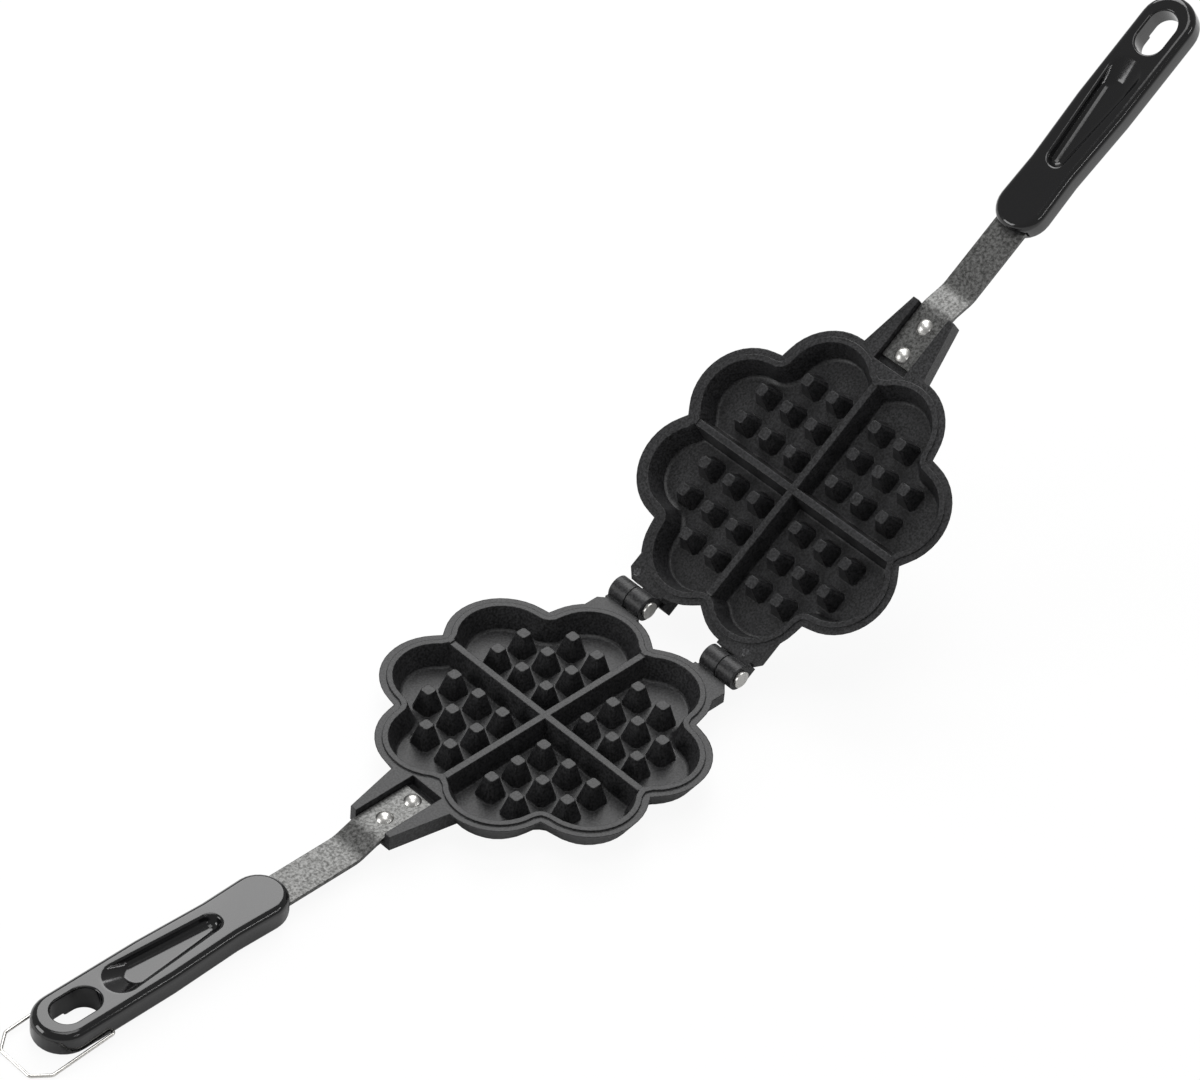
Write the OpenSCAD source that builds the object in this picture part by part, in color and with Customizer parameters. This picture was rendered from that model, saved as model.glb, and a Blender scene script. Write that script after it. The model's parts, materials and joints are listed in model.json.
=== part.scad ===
// Stovetop waffle iron with two flower-shaped plates that open like a book.
// Origin at the middle of the lower plate's flat underside, +Z up, +X toward the hinge.

/* [Plates] */
// Height of one plate from its flat underside to the parting plane
plate_h = 17; // [14:0.5:22]
// Radius of the circle on which the eight lobe centres lie
lobe_ring_r = 52; // [48:0.5:56]
// Radius of each lobe of the outline
lobe_r = 28; // [25:0.5:30]
// Radius of the small fillet between two lobes
cleft_fillet_r = 1.5; // [0.5:0.5:5]
// How far the outline draws in from the rim to the flat underside
base_inset = 13; // [9:0.5:15]
// Width of the rim from the outline to the edge of the moulds
rim_w = 6; // [4:0.25:8]
// Width of the raised inner ridge of the rim
ridge_w = 2.6; // [1.5:0.1:3.5]
// Step from the ridge down to the outer flange
ridge_step = 0.8; // [0.4:0.1:1.5]
// Gap between a rim and the parting plane when the iron is shut
rim_gap = 0.15; // [0.1:0.05:0.4]

/* [Moulds] */
// Distance from the parting plane down to the tops of the dividers and studs
divider_drop = 0.8; // [0.5:0.1:2]
// Height of the dividers and studs above the floor of the mould
mould_depth = 11; // [8:0.5:12]
// Width of a divider at its top
divider_w = 3; // [2:0.25:5]
// Draft of the outer mould wall, from the rim down to the fillet
mould_draft = 3.6; // [1:0.1:4.5]
// Draft of a divider's side, from its top down to the fillet
divider_draft = 2.2; // [0.5:0.1:3]
// Height of the sloped fillet where the mould wall meets the floor
floor_fillet_h = 1.4; // [0.8:0.1:2.5]
// How far that fillet reaches in over the floor
floor_fillet_w = 2.2; // [1:0.1:4]

/* [Studs] */
// Pitch of the square grid of studs
stud_pitch = 16; // [15:0.5:17]
// Distance from a divider's middle to the first row of studs
stud_first = 13.6; // [12.5:0.1:15]
// Side of the square top of a stud
stud_top = 5.4; // [4:0.2:7]
// Side of the square foot of a stud
stud_foot = 11.8; // [9:0.2:13]
// Share of a stud's side that its corner chamfer takes off
stud_chamfer = 0.16; // [0.05:0.01:0.25]

/* [Hinge] */
// Distance from the middle of a plate to the hinge axis
hinge_x = 84.4; // [82:0.2:90]
// Distance of each hinge barrel's middle from the centre line
barrel_y = 30; // [28:0.5:32]
// Length of a hinge barrel, which holds one knuckle of each plate
barrel_len = 20; // [16:0.5:22]
// Outer radius of the knuckles
knuckle_r = 6.25; // [5.5:0.25:7]
// Radius of the hinge pins
pin_r = 2.25; // [1.5:0.25:3]
// Radial clearance of a hinge pin in the upper plate's knuckle
pin_clearance = 0.08; // [0.03:0.01:0.1]
// Gap between the two knuckles of a barrel
knuckle_gap = 0.4; // [0.3:0.1:0.8]
// Radius of a hinge pin's head
pin_head_r = 4.2; // [3.5:0.1:5]
// Thickness of a hinge pin's head
pin_head_t = 1.4; // [0.8:0.1:2.5]
// Thickness of the webs that carry the knuckles
web_t = 5.6; // [4:0.2:7]
// Distance from the middle of a plate to the ends of its heels
heel_x = 80; // [74:0.5:82]
// Width of each heel
heel_w = 7; // [4:0.5:10]
// Height of a heel at its outer end
heel_h = 9.6; // [6:0.2:10]
// Angle that the upper plate is raised above the lower one when fully open
open_raise = 36.6; // [20:0.1:45]

/* [Handle lug] */
// Distance from the middle of a plate to the tips of the handle lug
lug_tip_x = 106; // [102:0.5:112]
// Half width of the lug at its tips
lug_tip_half_w = 12.8; // [12:0.2:16]
// Half width of the lug where it meets the rim
lug_root_half_w = 20; // [16:0.5:24]
// Height of the lug's underside above the plate's underside
lug_bottom_z = 8; // [6:0.5:9]
// Depth from the lug's top face to the top of the strap
strap_drop = 3.3; // [2:0.1:4]
// Length of the empty pocket beyond the strap's inner end
pocket_len = 4; // [2:0.5:6]

/* [Straps] */
// Width of the steel strap
strap_w = 18; // [15:0.5:20]
// Thickness of the steel strap
strap_t = 2; // [1.5:0.1:2.5]
// Side clearance of the strap in the lug's slot
strap_side_gap = 0.4; // [0.2:0.1:1]
// Distance of the strap's inner end from the middle of the plate
strap_inner_x = 76; // [72:0.5:80]
// Where the strap starts to step down, outside the lug
strap_bend_1_x = 107; // [105:0.5:112]
// Where the strap has finished stepping down
strap_bend_2_x = 119.5; // [116:0.5:126]
// Height that the strap steps down by
strap_step = 4.6; // [3:0.1:6]
// Length of the strap's tang inside the handle
tang_len = 42; // [30:1:60]

/* [Rivets] */
// Distance of the inner rivet from the middle of the plate
rivet_inner_x = 80.6; // [79:0.2:84]
// Spacing of the two rivets
rivet_pitch = 16.6; // [14:0.2:18]
// Radius of a rivet's shank
rivet_r = 2.4; // [1.5:0.1:3]
// Radius of a rivet's domed head
rivet_head_r = 4.1; // [3.5:0.1:4.6]
// Height of a rivet's domed head
rivet_head_h = 2.2; // [1.5:0.1:3]

/* [Handles] */
// Distance of a handle's inner end from the middle of the plate
handle_inner_x = 157; // [150:1:165]
// Length of a handle
handle_len = 136; // [125:1:150]
// Thickness of a handle
handle_t = 13.4; // [11.5:0.2:15]
// Height of the lower handle's underside above the plate's underside
handle_bottom_z = 0.6; // [0.2:0.1:2]
// Half width of a handle at its inner end
handle_front_r = 13.4; // [12:0.1:15]
// Half width of a handle at its waist
handle_waist_r = 12.8; // [11:0.1:14]
// Half width of a handle from its middle to its outer end
handle_rear_r = 14.3; // [13:0.1:16]
// Radius of a handle's rounded edges
handle_edge_r = 4; // [2:0.1:4.5]
// Length of the hanging hole
hang_hole_len = 24; // [20:0.5:27]
// Width of the hanging hole
hang_hole_w = 15; // [10:0.5:16]
// Distance of the hanging hole's middle from the handle's outer end
hang_hole_back = 20.8; // [18:0.2:24]
// Depth of the thumb scoop in a handle's inner face
scoop_depth = 3.6; // [2:0.1:4.5]
// Distance that the scoop's sides lean in from its edge to its bottom
scoop_wall = 1.2; // [0.5:0.1:3]
// Size of the sloped fillet round the scoop's bottom
scoop_fillet = 0.8; // [0.3:0.1:1.5]
// Length of the ramp at the scoop's wide end
scoop_ramp = 9; // [4:0.5:14]
// Depth of the step cut in the outer face at the handle's end
end_step = 1.6; // [0.8:0.1:2.5]
// Length of the stepped part of the outer face
end_step_len = 21; // [15:0.5:26]

/* [Bail] */
// Radius of the bail's wire
wire_r = 0.8; // [0.6:0.05:1.1]
// Distance of the bail's pivot from the lower handle's outer end
bail_pivot_back = 29; // [28:0.5:33]
// Height of the bail's pivot above the plate's underside
bail_pivot_z = 4.2; // [3.8:0.1:5]
// Reach of the bail from its pivot to its end bar
bail_reach = 41; // [40:0.1:44]
// Side gap between a bail leg and the handle
bail_side_gap = 0.7; // [0.4:0.1:1.2]
// Depth of a bail end in the side of the handle
bail_stub = 4.6; // [3:0.2:5.5]
// Radial clearance of the bail's ends in the handle
bail_clearance = 0.06; // [0.03:0.01:0.1]
// Half length of the bail's end bar
bail_bar_half = 9.5; // [7:0.5:11]
// Length along the reach of the bail's slanted corners
bail_corner = 7.5; // [5:0.5:9]

/* [Hidden] */
coating = "dimgray";
steel = "silver";
aluminium = "gainsboro";
phenolic = "black";
eps = 0.01;
lobes = 8;
lobe_angle = 360 / lobes;
flower_steps = 128;
heart_steps = 32;
rim_z = plate_h - rim_gap;
flange_z = rim_z - ridge_step;
divider_z = plate_h - divider_drop;
floor_z = divider_z - mould_depth;
// Outer wall: it slopes in below the rim and then turns under to the flat foot
wall_turn_z = plate_h * 0.3;
wall_turn_inset = base_inset * 0.48;
// Lug and strap heights
lug_top_z = flange_z;
strap_top_z = divider_z - strap_drop;
slot_z = strap_top_z - strap_t;
slot_half_w = strap_w / 2 + strap_side_gap;
lug_root_x = lobe_ring_r * cos(lobe_angle / 2) + 4;
strap_low_z = strap_top_z - strap_step;
rivet_outer_x = rivet_inner_x + rivet_pitch;
rivet_tail_r = rivet_head_r - 0.5;
rivet_tail_h = 1.2;
// Handle stations
handle_outer_x = handle_inner_x + handle_len;
front_x = handle_inner_x + handle_front_r;
waist_x = handle_inner_x + handle_len * 0.26;
rear_x = handle_inner_x + handle_len * 0.53;
end_x = handle_outer_x - handle_rear_r;
handle_top_z = handle_bottom_z + handle_t;
hang_hole_x = handle_outer_x - hang_hole_back;
scoop_front_x = handle_inner_x + handle_len * 0.3;
scoop_rear_x = handle_inner_x + handle_len * 0.67;
scoop_front_r = 5;
scoop_rear_r = 8.6;
// Bail
bail_pivot_x = handle_outer_x - bail_pivot_back;
bail_leg_y = handle_rear_r + bail_side_gap + wire_r;
bail_bend_r = 2.5;
pivot_bend_r = bail_side_gap + wire_r - 0.1;
bail_pivot_r = wire_r + 0.02;
bail_end_gap = 0.3;
bail_rest_drop = asin((bail_pivot_z - wire_r - 0.05) / bail_reach);
// Hinge
pin_head_y = barrel_len / 2;
web_half_w = barrel_len / 2 + 1.5;
web_outer_y = barrel_y + 12;
web_chamfer = 4.5;
web_z = flange_z - web_t;
web_front_gap = 0.7;
knuckle_len = barrel_len / 2 - knuckle_gap / 2;
web_front_x = hinge_x - knuckle_r - web_front_gap;

// Middle of a plate's own knuckle, which fills the +Y half of each barrel
function knuckle_mid(s) = s * barrel_y + barrel_len / 4 + knuckle_gap / 4;

// Distance from the middle to the cleft between two lobes, for a fillet of any radius
function fillet_at(r) = lobe_ring_r * cos(lobe_angle / 2)
    + sqrt(pow(lobe_r + r, 2) - pow(lobe_ring_r * sin(lobe_angle / 2), 2));

// Distance from the middle to the flower outline drawn in by an inset, at an angle from a cleft
function flower_r(angle, inset) =
    let (turn = lobe_angle / 2,
         c = turn - abs((angle % lobe_angle) - turn),
         fillet_x = fillet_at(cleft_fillet_r),
         fillet_r = cleft_fillet_r + inset,
         share = (lobe_r - inset) / (lobe_r + cleft_fillet_r),
         mid_x = lobe_ring_r * cos(turn),
         mid_y = lobe_ring_r * sin(turn),
         touch = atan2(mid_y * (1 - share), mid_x + (fillet_x - mid_x) * share))
    c < touch ? fillet_x * cos(c) - sqrt(pow(fillet_r, 2) - pow(fillet_x * sin(c), 2))
              : lobe_ring_r * cos(turn - c)
                + sqrt(pow(lobe_r - inset, 2) - pow(lobe_ring_r * sin(turn - c), 2));

// Ring of points round the flower at one height
function flower_ring(z, inset) = [for (i = [0 : flower_steps - 1]) let (a = 360 * i / flower_steps)
    [flower_r(a, inset) * cos(a), flower_r(a, inset) * sin(a), z]];

// Angle at which the outline comes to a given height above the divider's middle
function side_angle(side, inset) =
    let (first = asin(side / flower_r(1, inset)), second = asin(side / flower_r(first, inset)))
    asin(side / flower_r(second, inset));

// Ring of points round one heart mould: round the two lobes, then back by the corner at the middle
function heart_ring(z, inset, side) = let (start = side_angle(side, inset))
    concat([for (i = [0 : heart_steps]) let (a = start + (90 - 2 * start) * i / heart_steps)
        [flower_r(a, inset) * cos(a), flower_r(a, inset) * sin(a), z]], [[side, side, z]]);

// Middle of a ring of points
function middle(ring) = [for (p = ring) 1] * ring / len(ring);

// Solid through a stack of rings, from the lowest to the highest, closed at both ends by fans
module loft(rings) {
    count = len(rings[0]);
    top = (len(rings) - 1) * count;
    low_mid = top + count;
    walls = [for (i = [0 : len(rings) - 2], k = [0 : count - 1]) let (n = (k + 1) % count, j = i * count)
        each [[j + k, j + count + k, j + count + n], [j + k, j + count + n, j + n]]];
    ends = [for (k = [0 : count - 1]) let (n = (k + 1) % count)
        each [[low_mid, k, n], [low_mid + 1, top + n, top + k]]];
    polyhedron(points = [for (r = rings) each r, middle(rings[0]), middle(rings[len(rings) - 1])],
               faces = concat(walls, ends));
}

// Space of one heart mould: a drafted wall, then a rounded fillet down to the floor
module heart_mould() {
    side = divider_w / 2;
    loft(concat(
        [for (t = [0, 35, 65, 90]) heart_ring(floor_z + floor_fillet_h * (1 - cos(t)),
            rim_w + mould_draft + floor_fillet_w * (1 - sin(t)),
            side + divider_draft + floor_fillet_w / 2 * (1 - sin(t)))],
        [heart_ring(plate_h, rim_w, side)]));
}

// Square with chamfered corners
module stud_2d(side) {
    half = side / 2;
    cut = half - side * stud_chamfer;
    polygon([[half, -cut], [half, cut], [cut, half], [-cut, half],
             [-half, cut], [-half, -cut], [-cut, -half], [cut, -half]]);
}

// The eight studs of one heart: a grid of nine less the outermost
module heart_studs() {
    for (i = [0 : 2])
        for (j = [0 : 2])
            if (i + j < 4)
                translate([stud_first + stud_pitch * i, stud_first + stud_pitch * j, floor_z - 1])
                    linear_extrude(height = mould_depth + 1, scale = stud_top / stud_foot)
                        stud_2d(stud_foot);
}

// Cast body of a plate before its moulds are cut: foot, sloping wall, flange and raised ridge
module flower_body() {
    loft([flower_ring(0, base_inset), flower_ring(wall_turn_z * 0.3, (base_inset + wall_turn_inset) / 2),
          flower_ring(wall_turn_z, wall_turn_inset), flower_ring(flange_z, 0),
          flower_ring(flange_z, rim_w - ridge_w), flower_ring(rim_z, rim_w - ridge_w)]);
}

// Cross-shaped cut over the dividers that keeps them a little below the rim
module divider_relief() {
    reach = fillet_at(0) - rim_w;
    half_w = divider_w / 2 + 1;
    translate([0, 0, divider_z]) for (a = [0, 90]) rotate(a)
        translate([-reach, -half_w, 0]) cube([2 * reach, 2 * half_w, plate_h]);
}

// Block of the handle lug, on the side away from the hinge
module handle_lug() {
    taper_x = lug_root_x + 18;
    translate([0, 0, lug_bottom_z]) linear_extrude(height = lug_top_z - lug_bottom_z)
        polygon([[-lug_root_x, -lug_root_half_w], [-taper_x, -lug_root_half_w],
                 [-lug_tip_x, -lug_tip_half_w], [-lug_tip_x, lug_tip_half_w],
                 [-taper_x, lug_root_half_w], [-lug_root_x, lug_root_half_w]]);
}

// Open slot in the lug for the strap, with an empty pocket beyond its inner end
module strap_slot() {
    translate([-lug_tip_x - 1, -slot_half_w, slot_z])
        cube([lug_tip_x + 1 - strap_inner_x + pocket_len, 2 * slot_half_w, plate_h]);
}

// Hinge web with a chamfered outer corner, and the arm that reaches its knuckle
module hinge_web(s) {
    translate([0, 0, web_z]) linear_extrude(height = web_t) {
        polygon([[lobe_ring_r, s * (barrel_y - web_half_w)], [web_front_x, s * (barrel_y - web_half_w)],
                 [web_front_x, s * (web_outer_y - web_chamfer)], [web_front_x - web_chamfer, s * web_outer_y],
                 [lobe_ring_r, s * web_outer_y]]);
        translate([web_front_x - 1, knuckle_mid(s) - knuckle_len / 2])
            square([hinge_x - web_front_x + 1, knuckle_len]);
    }
}

// Cast heel under a hinge web, level with the plate's underside
module heel(s) {
    translate([0, s * (barrel_y - web_half_w + heel_w / 2) + heel_w / 2, 0]) rotate([90, 0, 0])
        linear_extrude(height = heel_w)
            polygon([[lobe_ring_r, 0], [heel_x, 0], [heel_x, heel_h], [web_front_x, heel_h],
                     [web_front_x - 1, web_z + 1], [lobe_ring_r, web_z + 1]]);
}

// Cylinder along the hinge axis over the length of one knuckle
module knuckle_rod(s, r, extra) {
    translate([hinge_x, knuckle_mid(s), plate_h]) rotate([90, 0, 0])
        cylinder(r = r, h = knuckle_len + extra, center = true, $fn = 64);
}

// Two rivet holes through a strap or a lug
module rivet_holes() {
    for (x = [rivet_inner_x, rivet_outer_x])
        translate([-x, 0, 0]) cylinder(r = rivet_r, h = plate_h, $fn = 48);
}

// The upper half is the lower half turned over its hinge by this placement
module raised() {
    translate([hinge_x, 0, plate_h]) rotate([0, -open_raise, 0]) translate([hinge_x, 0, -plate_h])
        rotate([0, 0, 180]) children();
}

// One casting: body, lug, webs and heels, less the moulds, with the studs standing in them
module casting() {
    difference() {
        union() {
            flower_body();
            handle_lug();
            for (s = [-1, 1]) {
                hinge_web(s);
                heel(s);
            }
        }
        for (a = [0 : 90 : 270]) rotate(a) heart_mould();
        divider_relief();
        strap_slot();
    }
    for (a = [0 : 90 : 270]) rotate(a) heart_studs();
}

// Plate with its knuckles, pin bores and rivet holes
module plate(bore_r) {
    difference() {
        union() {
            casting();
            for (s = [-1, 1]) knuckle_rod(s, knuckle_r, 0);
        }
        for (s = [-1, 1]) knuckle_rod(s, bore_r, 2);
        rivet_holes();
    }
}

module lower_plate() { color(coating) plate(pin_r); }

module upper_plate() { color(coating) raised() plate(pin_r + pin_clearance); }

// Steel strap: flat in the lug, a step down, then flat into the handle
module strap() {
    half = strap_w / 2;
    low = strap_low_z;
    tang_x = handle_inner_x + tang_len;
    difference() {
        translate([0, half, 0]) rotate([90, 0, 0]) linear_extrude(height = strap_w)
            polygon([[-strap_inner_x, strap_top_z], [-strap_bend_1_x, strap_top_z],
                     [-strap_bend_2_x, low], [-tang_x, low], [-tang_x, low - strap_t],
                     [-strap_bend_2_x - 0.6, low - strap_t], [-strap_bend_1_x - 0.6, slot_z],
                     [-strap_inner_x, slot_z]]);
        rivet_holes();
    }
}

module lower_strap() { color(steel) strap(); }

module upper_strap() { color(steel) raised() strap(); }

// Rivet with a domed head on the strap and a low formed tail under the lug
module rivet(x) {
    dome_r = (rivet_head_r * rivet_head_r + rivet_head_h * rivet_head_h) / (2 * rivet_head_h);
    translate([-x, 0, 0]) {
        translate([0, 0, lug_bottom_z - rivet_tail_h])
            cylinder(r = rivet_tail_r, h = rivet_tail_h, $fn = 48);
        translate([0, 0, lug_bottom_z - eps])
            cylinder(r = rivet_r, h = strap_top_z - lug_bottom_z + 2 * eps, $fn = 48);
        translate([0, 0, strap_top_z]) rotate_extrude($fn = 64) intersection() {
            translate([0, rivet_head_h - dome_r]) circle(r = dome_r, $fn = 96);
            square([rivet_head_r, rivet_head_h]);
        }
    }
}

module lower_rivet_inner() { color(aluminium) rivet(rivet_inner_x); }

module lower_rivet_outer() { color(aluminium) rivet(rivet_outer_x); }

module upper_rivet_inner() { color(aluminium) raised() rivet(rivet_inner_x); }

module upper_rivet_outer() { color(aluminium) raised() rivet(rivet_outer_x); }

// Plan of a handle drawn in by its edge radius
module handle_2d() {
    stations = [[front_x, handle_front_r], [waist_x, handle_waist_r],
                [rear_x, handle_rear_r], [end_x, handle_rear_r]];
    for (i = [0 : 2]) hull() for (p = [stations[i], stations[i + 1]])
        translate([-p[0], 0]) circle(r = p[1] - handle_edge_r, $fn = 32);
}

// Handle body with its edges rounded all round
module handle_body() {
    translate([0, 0, handle_bottom_z + handle_edge_r]) minkowski() {
        linear_extrude(height = handle_t - 2 * handle_edge_r) handle_2d();
        sphere(r = handle_edge_r, $fn = 24);
    }
}

// Flat disc that bounds one end of the scoop at one height
module scoop_disc(x, r, z) {
    translate([-x, 0, z]) cylinder(r = r, h = 1, $fn = 48);
}

// Tapered thumb scoop with steep sides, a flat bottom and a ramp at its wide end
module scoop() {
    bottom_z = handle_top_z - scoop_depth;
    ends = [[scoop_front_x, scoop_front_r - scoop_wall], [scoop_rear_x - scoop_ramp, scoop_rear_r - scoop_wall]];
    hull() {
        scoop_disc(scoop_front_x, scoop_front_r, handle_top_z - eps);
        scoop_disc(scoop_rear_x, scoop_rear_r, handle_top_z - eps);
        for (end = ends) {
            scoop_disc(end[0], end[1], bottom_z + scoop_fillet);
            scoop_disc(end[0], end[1] - scoop_fillet, bottom_z);
        }
    }
}

// Long hole to hang the iron by
module hang_hole() {
    half = hang_hole_len / 2 - hang_hole_w / 2;
    translate([-hang_hole_x, 0, -1]) {
        for (dx = [-half, half]) translate([dx, 0, 0]) cylinder(r = hang_hole_w / 2, h = plate_h, $fn = 64);
        translate([-half, -hang_hole_w / 2, 0]) cube([2 * half, hang_hole_w, plate_h]);
    }
}

// Moulded handle on the strap's tang
module handle() {
    difference() {
        resize([0, 0, 0]) difference() {
            handle_body();
            scoop();
        }
        hang_hole();
        translate([-handle_outer_x - 1, -handle_rear_r - 1, handle_bottom_z - 1])
            cube([end_step_len + 1, 2 * handle_rear_r + 2, end_step + 1]);
        translate([-handle_inner_x - tang_len, -strap_w / 2, strap_low_z - strap_t])
            cube([tang_len + 5, strap_w, strap_t]);
    }
}

module lower_handle() {
    color(phenolic) difference() {
        handle();
        for (s = [-1, 1])
            translate([-bail_pivot_x, s * (handle_rear_r + 1), bail_pivot_z]) rotate([s * 90, 0, 0])
                cylinder(r = bail_pivot_r + bail_clearance, h = bail_stub + 1 + bail_end_gap, $fn = 32);
    }
}

module upper_handle() { color(phenolic) raised() handle(); }

// Hinge pin: a shank through both knuckles with a flat head on the -Y side
module hinge_pin(y) {
    translate([hinge_x, y, plate_h]) rotate([90, 0, 0]) {
        translate([0, 0, -barrel_len / 2]) cylinder(r = pin_r, h = barrel_len + knuckle_gap / 2, $fn = 48);
        translate([0, 0, pin_head_y + knuckle_gap / 2]) cylinder(r = pin_head_r, h = pin_head_t, $fn = 64);
    }
}

module hinge_pin_left() { color(aluminium) hinge_pin(barrel_y); }

module hinge_pin_right() { color(aluminium) hinge_pin(-barrel_y); }

// Points of a left-hand bend round a centre, each with the heading of the wire there
function bend(centre, r, from, to) =
    [for (i = [0 : 6]) let (a = from + (to - from) * i / 6) [centre[0] + r * sin(a), centre[1] - r * cos(a), a]];

// Route of half the bail in its own plane: pivot end, leg, slanted corner, middle of the end bar
function bail_route() =
    let (slant = atan2(bail_leg_y - bail_bar_half, bail_corner),
         knee_cut = bail_bend_r * tan(slant / 2), bar_cut = bail_bend_r * tan((90 - slant) / 2))
    concat([[0, handle_rear_r - bail_stub / 2, 90]],
           bend([-pivot_bend_r, bail_leg_y - pivot_bend_r], pivot_bend_r, 90, 180),
           bend([-bail_reach + bail_corner + knee_cut, bail_leg_y - bail_bend_r], bail_bend_r, 180, 180 + slant),
           bend([-bail_reach + bail_bend_r, bail_bar_half - bar_cut], bail_bend_r, 180 + slant, 270));

// Round wire swept along a flat route
module wire(route) {
    loft([for (p = route) [for (t = [0 : 22.5 : 337.5])
        [p[0] - wire_r * cos(t) * sin(p[2]), p[1] + wire_r * cos(t) * cos(p[2]), wire_r * sin(t)]]]);
}

// Wire bail: one bent wire whose two ends turn in blind holes in the lower handle
module wire_bail() {
    half = bail_route();
    other = [for (i = [len(half) - 1 : -1 : 0]) [half[i][0], -half[i][1], 540 - half[i][2]]];
    color(steel) translate([-bail_pivot_x, 0, bail_pivot_z]) rotate([0, -bail_rest_drop, 0]) {
        wire(concat(half, other));
        for (s = [-1, 1]) translate([0, s * (handle_rear_r - bail_stub), 0]) rotate([-s * 90, 0, 0])
            cylinder(r = bail_pivot_r, h = bail_leg_y - pivot_bend_r - handle_rear_r + bail_stub, $fn = 32);
    }
}

lower_plate();
upper_plate();
lower_strap();
upper_strap();
lower_rivet_inner();
lower_rivet_outer();
upper_rivet_inner();
upper_rivet_outer();
lower_handle();
upper_handle();
hinge_pin_left();
hinge_pin_right();
wire_bail();
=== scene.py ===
import json
import math

import bmesh
import bpy
from mathutils import Euler, Matrix, Vector


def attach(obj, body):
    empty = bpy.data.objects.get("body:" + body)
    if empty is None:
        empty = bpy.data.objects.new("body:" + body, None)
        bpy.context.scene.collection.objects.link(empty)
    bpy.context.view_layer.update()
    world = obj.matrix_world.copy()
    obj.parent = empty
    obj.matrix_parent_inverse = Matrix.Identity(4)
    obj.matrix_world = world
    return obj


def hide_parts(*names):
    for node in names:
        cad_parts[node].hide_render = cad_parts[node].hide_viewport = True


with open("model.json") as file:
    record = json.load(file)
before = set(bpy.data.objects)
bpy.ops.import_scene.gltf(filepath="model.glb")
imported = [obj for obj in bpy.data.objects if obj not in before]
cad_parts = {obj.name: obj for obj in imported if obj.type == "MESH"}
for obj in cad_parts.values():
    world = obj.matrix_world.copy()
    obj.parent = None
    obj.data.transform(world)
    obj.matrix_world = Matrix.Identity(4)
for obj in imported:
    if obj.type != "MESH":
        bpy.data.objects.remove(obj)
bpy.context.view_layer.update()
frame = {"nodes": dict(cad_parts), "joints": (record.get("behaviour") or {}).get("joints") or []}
nodes = frame["nodes"]

# Camera: it stands in front of the lower handle, well above it, with a long lens, so the lower
# half runs from the bottom left corner and the upper half rises to the top right.
camera_data = bpy.data.cameras.new("camera")
camera_data.lens = 146.08
camera_data.sensor_width = 36.0
camera_data.clip_end = 20.0
camera = bpy.data.objects.new("camera", camera_data)
bpy.context.scene.collection.objects.link(camera)
camera_place = (-1.16362, -1.08178, 1.53254)
camera_turn = Euler([math.radians(angle) for angle in (48.3041, -4.1995, -43.9640)])
camera.matrix_world = Matrix.Translation(camera_place) @ camera_turn.to_matrix().to_4x4()
bpy.context.scene.camera = camera

# Cast plates: two like castings in aluminium alloy, shot-blasted and sprayed with a dark grey
# non-stick coating, which pools a little unevenly and wears to a sheen on the edges.


def linear(hex_colour):
    """An sRGB hex colour as the linear RGBA that a shader socket takes."""
    srgb = [int(hex_colour[i:i + 2], 16) / 255 for i in (1, 3, 5)]
    return [c / 12.92 if c <= 0.04045 else ((c + 0.055) / 1.055) ** 2.4 for c in srgb] + [1.0]


def add_node(tree, kind, settings=None, **inputs):
    """Add a node and set or link its inputs: To_Min is the input "To Min", and _1 is input 1."""
    node = tree.nodes.new(kind)
    for name, value in (settings or {}).items():
        setattr(node, name, value)
    for name, value in inputs.items():
        key = int(name[1:]) if name[0] == "_" else name.replace("_", " ")
        if isinstance(value, bpy.types.NodeSocket):
            tree.links.new(value, node.inputs[key])
        else:
            node.inputs[key].default_value = value
    return node


def new_material(name):
    """An empty node material: its tree, its shader and its object coordinates."""
    material = bpy.data.materials.new(name)
    material.use_nodes = True
    tree = material.node_tree
    shader = tree.nodes["Principled BSDF"]
    place = tree.nodes.new("ShaderNodeTexCoord").outputs["Object"]
    return material, tree, shader, place


def merged_form(node_name):
    """A copy of a CAD node's mesh with its triangles joined at their corners."""
    same_place = 1e-6
    form = bmesh.new()
    form.from_mesh(nodes[node_name].data)
    bmesh.ops.remove_doubles(form, verts=form.verts, dist=same_place)
    return form


def stand_for(node_name, form, body, material, crease_angle):
    """Put a smooth-shaded piece, made from the form and creased, in place of the CAD node."""
    for face in form.faces:
        face.smooth = True
    mesh = bpy.data.meshes.new(node_name + "_surface")
    form.to_mesh(mesh)
    form.free()
    copied = ("custom_normal", "sharp_edge", "sharp_face")
    for attribute in [a for a in mesh.attributes if a.name in copied]:
        mesh.attributes.remove(attribute)
    mesh.set_sharp_from_angle(angle=crease_angle)
    mesh.materials.append(material)
    piece = bpy.data.objects.new(node_name + "_surface", mesh)
    bpy.context.scene.collection.objects.link(piece)
    levelled = piece.modifiers.new("level_faces", "WEIGHTED_NORMAL")
    levelled.keep_sharp = True
    levelled.weight = 90
    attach(piece, body)
    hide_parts(node_name)


# The coating is satin. Its grain, from the blasted metal under it, is drawn 1 mm wide, since the
# real one is too fine to show, and the film is a little thicker in patches 25 mm wide.
coating, tree, shader, place = new_material("non_stick_coating_sprayed")
grain_width, patch_width = 0.001, 0.025
grain = add_node(tree, "ShaderNodeTexNoise", Vector=place, Scale=1 / grain_width, Detail=2.0)
patches = add_node(tree, "ShaderNodeTexNoise", Vector=place, Scale=1 / patch_width, Detail=3.0)
tone = add_node(tree, "ShaderNodeValToRGB", Fac=patches.outputs["Fac"])
stops = tone.color_ramp.elements
stops[0].position, stops[0].color = 0.35, linear("#1f1f20")
stops[1].position, stops[1].color = 0.70, linear("#262627")
grit = add_node(tree, "ShaderNodeMapRange", Value=grain.outputs["Fac"],
                From_Min=0.35, From_Max=0.65, To_Min=0.35, To_Max=1.9)
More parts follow.
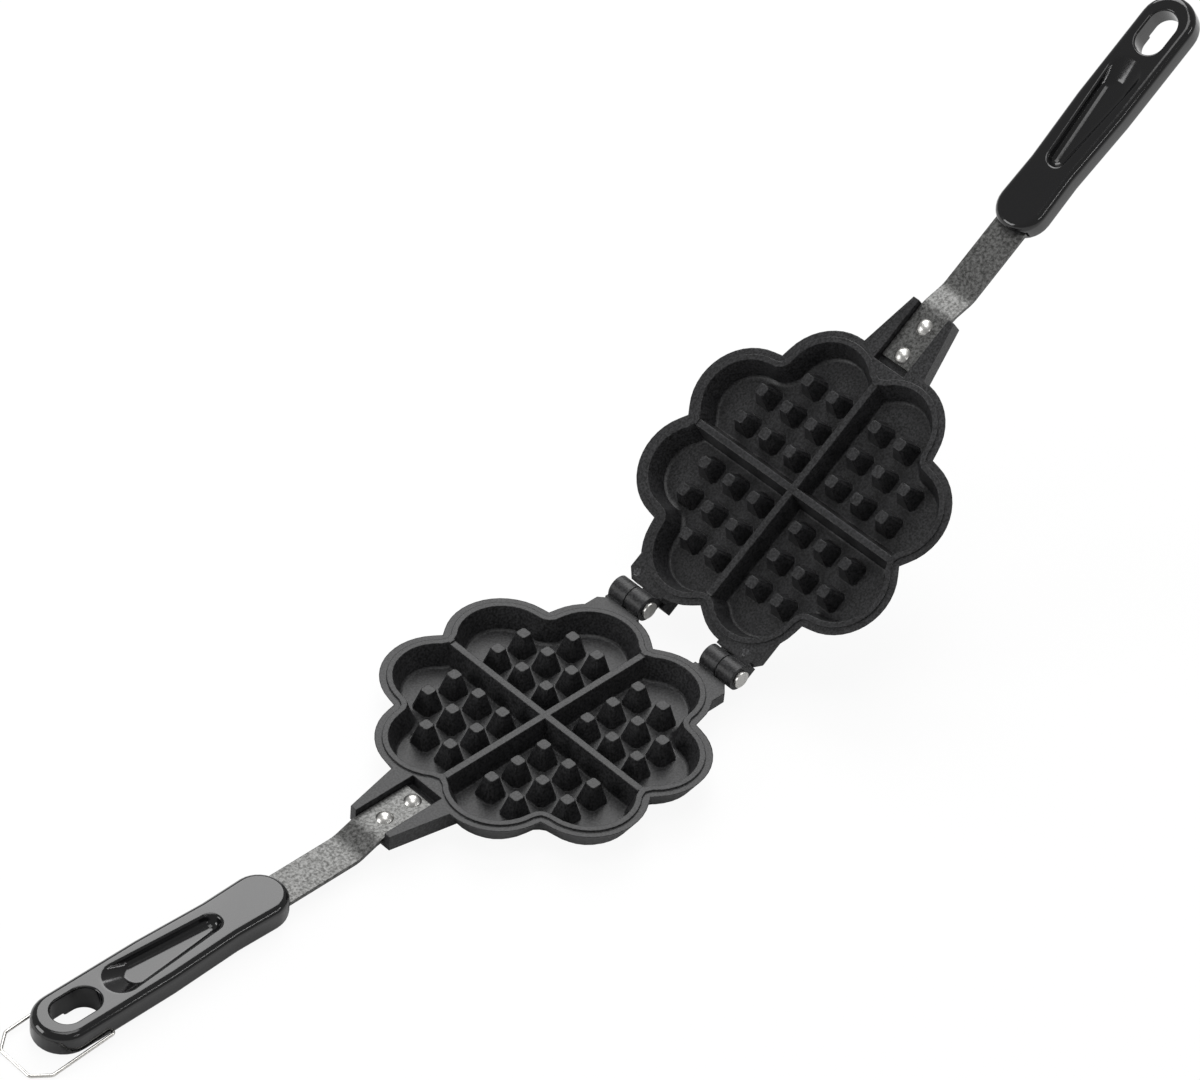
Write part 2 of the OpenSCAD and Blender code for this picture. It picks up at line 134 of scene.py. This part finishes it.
# Two shallow round marks, 4 mm across and a little lighter, where pins pushed the upper casting
# out of its die.
pin_marks = ((0.0940, 0.0375, 0.0229), (0.0941, -0.0334, 0.0230))
mark_floor_r, mark_edge_r = 0.0017, 0.0021
mark_depth, mark_lightness = 0.0003, 2.2
to_marks = [add_node(tree, "ShaderNodeVectorMath", {"operation": "DISTANCE"}, _0=place, _1=spot)
            for spot in pin_marks]
nearest = add_node(tree, "ShaderNodeMath", {"operation": "MINIMUM"},
                   _0=to_marks[0].outputs["Value"], _1=to_marks[1].outputs["Value"])
outside = add_node(tree, "ShaderNodeMapRange", Value=nearest.outputs[0],
                   From_Min=mark_floor_r, From_Max=mark_edge_r)
lightened = add_node(tree, "ShaderNodeMapRange", Value=outside.outputs["Result"],
                     To_Min=mark_lightness, To_Max=1.0)
shade = add_node(tree, "ShaderNodeMath", {"operation": "MULTIPLY"},
                 _0=grit.outputs["Result"], _1=lightened.outputs["Result"])
speckled = add_node(tree, "ShaderNodeVectorMath", {"operation": "SCALE"},
                    _0=tone.outputs["Color"], Scale=shade.outputs[0])
tree.links.new(speckled.outputs["Vector"], shader.inputs["Base Color"])
shader.inputs["Specular IOR Level"].default_value = 0.28
dull = add_node(tree, "ShaderNodeMapRange", Value=patches.outputs["Fac"], To_Min=0.36, To_Max=0.46)
tree.links.new(dull.outputs["Result"], shader.inputs["Roughness"])
coating_edge_r, grain_height = 0.0006, 0.0001
edges = add_node(tree, "ShaderNodeBevel", {"samples": 6}, Radius=coating_edge_r)
dent = add_node(tree, "ShaderNodeBump", Height=outside.outputs["Result"], Strength=1.0,
                Distance=mark_depth, Normal=edges.outputs["Normal"])
relief = add_node(tree, "ShaderNodeBump", Height=grain.outputs["Fac"], Strength=0.4,
                  Distance=grain_height, Normal=dent.outputs["Normal"])
tree.links.new(relief.outputs["Normal"], shader.inputs["Normal"])
plate_crease = math.radians(25)
for name, body in (("lower_plate", "lower_half"), ("upper_plate", "upper_half")):
    stand_for(name, merged_form(name), body, coating, plate_crease)

# Straps: sheet steel, sheared and bent cold, left with a mottled mill finish.
# Each lies in its plate's lug under two rivet heads and ends inside a handle.


def join_flat_faces(form):
    """Join triangles that lie in one plane, so that only real edges are left to be rounded."""
    same_plane = math.radians(0.5)
    bmesh.ops.dissolve_limit(form, angle_limit=same_plane, verts=form.verts, edges=form.edges)


def round_edges(form, edges, width, segments):
    """Round the given edges of the form."""
    bmesh.ops.bevel(form, geom=edges, offset=width, offset_type="OFFSET", segments=segments,
                    profile=0.5, affect="EDGES", clamp_overlap=False)


# The mill finish is a mottle of seven dark and light spots to 10 mm, the light ones duller.
strap_steel, tree, shader, place = new_material("sheet_steel_mill_finish")
mottle_width = 0.010 / 7
mottle = add_node(tree, "ShaderNodeTexNoise", Vector=place, Scale=1 / mottle_width, Detail=4.0,
                  Roughness=0.65)
tone = add_node(tree, "ShaderNodeValToRGB", Fac=mottle.outputs["Fac"])
stops = tone.color_ramp.elements
stops[0].position, stops[0].color = 0.38, linear("#414140")
stops[1].position, stops[1].color = 0.62, linear("#6f6f6e")
tree.links.new(tone.outputs["Color"], shader.inputs["Base Color"])
shader.inputs["Metallic"].default_value = 1.0
dull = add_node(tree, "ShaderNodeMapRange", Value=mottle.outputs["Fac"], To_Min=0.40, To_Max=0.50)
tree.links.new(dull.outputs["Result"], shader.inputs["Roughness"])
sheared_edge_r, mottle_height = 0.0004, 0.00004
edges = add_node(tree, "ShaderNodeBevel", {"samples": 6}, Radius=sheared_edge_r)
relief = add_node(tree, "ShaderNodeBump", Height=mottle.outputs["Fac"], Strength=0.2,
                  Distance=mottle_height, Normal=edges.outputs["Normal"])
tree.links.new(relief.outputs["Normal"], shader.inputs["Normal"])
bend_round = 0.0024
least_bend, most_bend = math.radians(10), math.radians(40)
least_bend_length = 0.010
strap_crease = math.radians(35)
for name, body in (("lower_strap", "lower_half"), ("upper_strap", "upper_half")):
    form = merged_form(name)
    join_flat_faces(form)
    bends = [edge for edge in form.edges
             if len(edge.link_faces) == 2 and edge.calc_length() > least_bend_length
             and least_bend < edge.calc_face_angle() < most_bend]
    round_edges(form, bends, bend_round, segments=6)
    stand_for(name, form, body, strap_steel, strap_crease)

# Rivets and hinge pins: soft aluminium, headed cold in a press, so the heads are bright
# and smooth with a faint mottle from the tool.
rivet_metal, tree, shader, place = new_material("aluminium_cold_headed")
scuff_width = 0.010 / 12
scuff = add_node(tree, "ShaderNodeTexNoise", Vector=place, Scale=1 / scuff_width, Detail=3.0)
shader.inputs["Base Color"].default_value = linear("#c9c8c5")
shader.inputs["Metallic"].default_value = 1.0
dull = add_node(tree, "ShaderNodeMapRange", Value=scuff.outputs["Fac"], To_Min=0.26, To_Max=0.42)
tree.links.new(dull.outputs["Result"], shader.inputs["Roughness"])
for name in ("lower_rivet_inner", "lower_rivet_outer", "upper_rivet_inner", "upper_rivet_outer",
             "hinge_pin_left", "hinge_pin_right"):
    nodes[name].data.materials.clear()
    nodes[name].data.materials.append(rivet_metal)

# Handles: black phenolic, compression moulded round the strap's tang, with rounded rims and a
# dished scoop. The faces are glossy, with a faint orange-peel ripple about 3 mm wide. Their dust
# specks are drawn half a millimetre wide, so that they show.
phenolic, tree, shader, place = new_material("phenolic_moulded_black")
ripple_width, speck_width = 0.010 / 3, 0.010 / 22
ripple = add_node(tree, "ShaderNodeTexNoise", Vector=place, Scale=1 / ripple_width, Detail=2.0)
specks = add_node(tree, "ShaderNodeTexNoise", Vector=place, Scale=1 / speck_width, Detail=2.0)
shader.inputs["Base Color"].default_value = linear("#121213")
dull = add_node(tree, "ShaderNodeMapRange", Value=specks.outputs["Fac"], To_Min=0.07, To_Max=0.15)
tree.links.new(dull.outputs["Result"], shader.inputs["Roughness"])
moulded_edge_r, ripple_height = 0.0006, 0.0001
edges = add_node(tree, "ShaderNodeBevel", {"samples": 8}, Radius=moulded_edge_r)
relief = add_node(tree, "ShaderNodeBump", Height=ripple.outputs["Fac"], Strength=0.2,
                  Distance=ripple_height, Normal=edges.outputs["Normal"])
tree.links.new(relief.outputs["Normal"], shader.inputs["Normal"])
joints = {joint["name"]: joint for joint in frame["joints"]}
bail_hole = joints["bail_pivot"]["pos_m"]
open_raise = math.pi - math.radians(joints["plate_hinge"]["range_deg"][1])
rim_round = 0.0010
rim_angle = math.radians(18)
handle_crease = math.radians(35)
# The blind hole for the bail keeps its sharp rim: edges this near its middle are left alone.
hole_margin = 0.002
scoop_depth, depth_slack = 0.0036, 0.0003
same_direction = 0.9999
# How far the scoop's bottom draws in, and how far it drops, in each step of its dish.
scoop_steps = ((0.0010, 0.0005), (0.0010, 0.0003), (0.0007, 0.0001))
for name, body, raised in (("lower_handle", "lower_half", 0.0),
                           ("upper_handle", "upper_half", open_raise)):
    inner_face = Vector((-math.sin(raised), 0.0, math.cos(raised)))
    form = merged_form(name)
    join_flat_faces(form)
    facing = [face for face in form.faces if face.normal.dot(inner_face) > same_direction]
    top = max(face.verts[0].co.dot(inner_face) for face in facing)
    trough = [face for face in facing
              if abs(top - face.verts[0].co.dot(inner_face) - scoop_depth) < depth_slack]
    for inset, drop in scoop_steps:
        bmesh.ops.inset_region(form, faces=trough, thickness=inset, depth=-drop,
                               use_even_offset=True)
    rims = []
    for edge in form.edges:
        middle = (edge.verts[0].co + edge.verts[1].co) / 2
        from_hole = math.hypot(middle.x - bail_hole[0], middle.z - bail_hole[2])
        if (len(edge.link_faces) == 2 and edge.is_convex and edge.calc_face_angle() > rim_angle
                and from_hole > hole_margin):
            rims.append(edge)
    round_edges(form, rims, rim_round, segments=3)
    stand_for(name, form, body, phenolic, handle_crease)

# Bail: bright drawn steel wire, bent on a jig and sprung into two holes in the lower handle.
# It lies open on the table and swings up over both handles' ends to hold them shut. The die
# leaves the wire bright, with duller spots about 1 mm wide.
wire_steel, tree, shader, place = new_material("steel_wire_bright_drawn")
spot_width = 0.010 / 9
shader.inputs["Base Color"].default_value = linear("#cfcdc9")
shader.inputs["Metallic"].default_value = 1.0
drawn = add_node(tree, "ShaderNodeTexNoise", Vector=place, Scale=1 / spot_width, Detail=2.0)
dull = add_node(tree, "ShaderNodeMapRange", Value=drawn.outputs["Fac"], To_Min=0.18, To_Max=0.32)
tree.links.new(dull.outputs["Result"], shader.inputs["Roughness"])
wire_crease = math.radians(50)
stand_for("wire_bail", merged_form("wire_bail"), "bail", wire_steel, wire_crease)

# Studio: a white table under the iron. The camera sees it nearly white, with a faint soft shadow.
floor_half = 8.0
floor_corners = [(-floor_half, -floor_half, 0), (floor_half, -floor_half, 0),
                 (floor_half, floor_half, 0), (-floor_half, floor_half, 0)]
floor_mesh = bpy.data.meshes.new("floor")
floor_mesh.from_pydata(floor_corners, [], [(0, 1, 2, 3)])
floor = bpy.data.objects.new("floor", floor_mesh)
bpy.context.scene.collection.objects.link(floor)
white = linear("#ffffff")
table_glow = 0.92
table, tree, shader, place = new_material("white_table")
shader.inputs["Base Color"].default_value = linear("#f4f4f4")
shader.inputs["Roughness"].default_value = 0.9
glow = add_node(tree, "ShaderNodeEmission", Color=white, Strength=1.0)
rays = tree.nodes.new("ShaderNodeLightPath")
seen = add_node(tree, "ShaderNodeMath", {"operation": "MULTIPLY"},
                _0=rays.outputs["Is Camera Ray"], _1=table_glow)
blend = add_node(tree, "ShaderNodeMixShader", _0=seen.outputs[0], _1=shader.outputs[0],
                 _2=glow.outputs[0])
tree.links.new(blend.outputs[0], tree.nodes["Material Output"].inputs["Surface"])
floor_mesh.materials.append(table)

# Lights: a large softbox high behind the hinge, whose reflection lies along the lower handle,
# a smaller one from the left, one overhead, two narrow strips whose glints run along the
# handles' rounded edges, and a dim room all round.
for name, spot, aim, size, power in (
        ("softbox_back", (0.75, 0.86, 1.25), (-0.15, 0.0, 0.0), (1.1, 1.1), 19.0),
        ("softbox_left", (-1.7, 0.9, 0.8), (0.0, 0.0, 0.0), (0.9, 0.9), 15.0),
        ("softbox_top", (0.0, 0.0, 2.2), (0.0, 0.0, 0.0), (1.2, 1.2), 14.0),
        ("strip_lower", (0.65, -1.06, 0.81), (-0.23, 0.0, 0.0), (0.5, 0.06), 1.2),
        ("strip_upper", (-0.08, -1.38, 0.89), (0.34, 0.0, 0.2), (0.5, 0.06), 1.2)):
    light = bpy.data.lights.new(name, "AREA")
    light.shape = "RECTANGLE"
    (light.size, light.size_y), light.energy = size, power
    lamp = bpy.data.objects.new(name, light)
    bpy.context.scene.collection.objects.link(lamp)
    turn = (Vector(spot) - Vector(aim)).to_track_quat("Z", "Y").to_matrix().to_4x4()
    lamp.matrix_world = Matrix.Translation(spot) @ turn
room_light = 0.35
world = bpy.data.worlds.new("studio")
bpy.context.scene.world = world
world.use_nodes = True
tree = world.node_tree
rays = tree.nodes.new("ShaderNodeLightPath")
air = tree.nodes["Background"]
air.inputs["Color"].default_value = white
air.inputs["Strength"].default_value = room_light
backdrop = add_node(tree, "ShaderNodeBackground", Color=white, Strength=1.0)
blend = add_node(tree, "ShaderNodeMixShader", _0=rays.outputs["Is Camera Ray"], _1=air.outputs[0],
                 _2=backdrop.outputs[0])
tree.links.new(blend.outputs[0], tree.nodes["World Output"].inputs["Surface"])
bpy.context.scene.view_settings.view_transform = "Standard"
